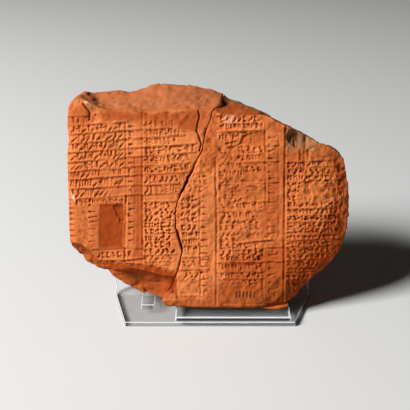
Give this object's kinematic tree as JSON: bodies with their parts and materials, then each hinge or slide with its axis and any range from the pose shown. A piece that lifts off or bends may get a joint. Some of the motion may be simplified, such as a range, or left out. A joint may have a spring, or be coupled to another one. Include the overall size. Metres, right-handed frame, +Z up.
{
  "type": "cuneiform tablet",
  "caption": "Broken and rejoined clay tablet with ruled columns of wedge marks, leaning back on a clear sheet stand.",
  "frame": {"origin": "middle of the rectangle that the whole object covers on the floor, at floor height", "axes": "+Z up; the written face looks toward -Y and leans back; +X runs across the face to the viewer's right"},
  "size_m": [0.1794, 0.1272, 0.1401],
  "materials": {
    "clay_left": "matt, worn",
    "clay_right": "matt, worn",
    "clear_sheet": "clear, polished"
  },
  "bodies": {
    "root": {"tablet_left_piece": "clay_left", "tablet_right_piece": "clay_right", "stand_back_plate": "clear_sheet", "stand_ledge": "clear_sheet", "stand_peg": "clear_sheet", "stand_strut": "clear_sheet"}
  },
  "joints": []
}
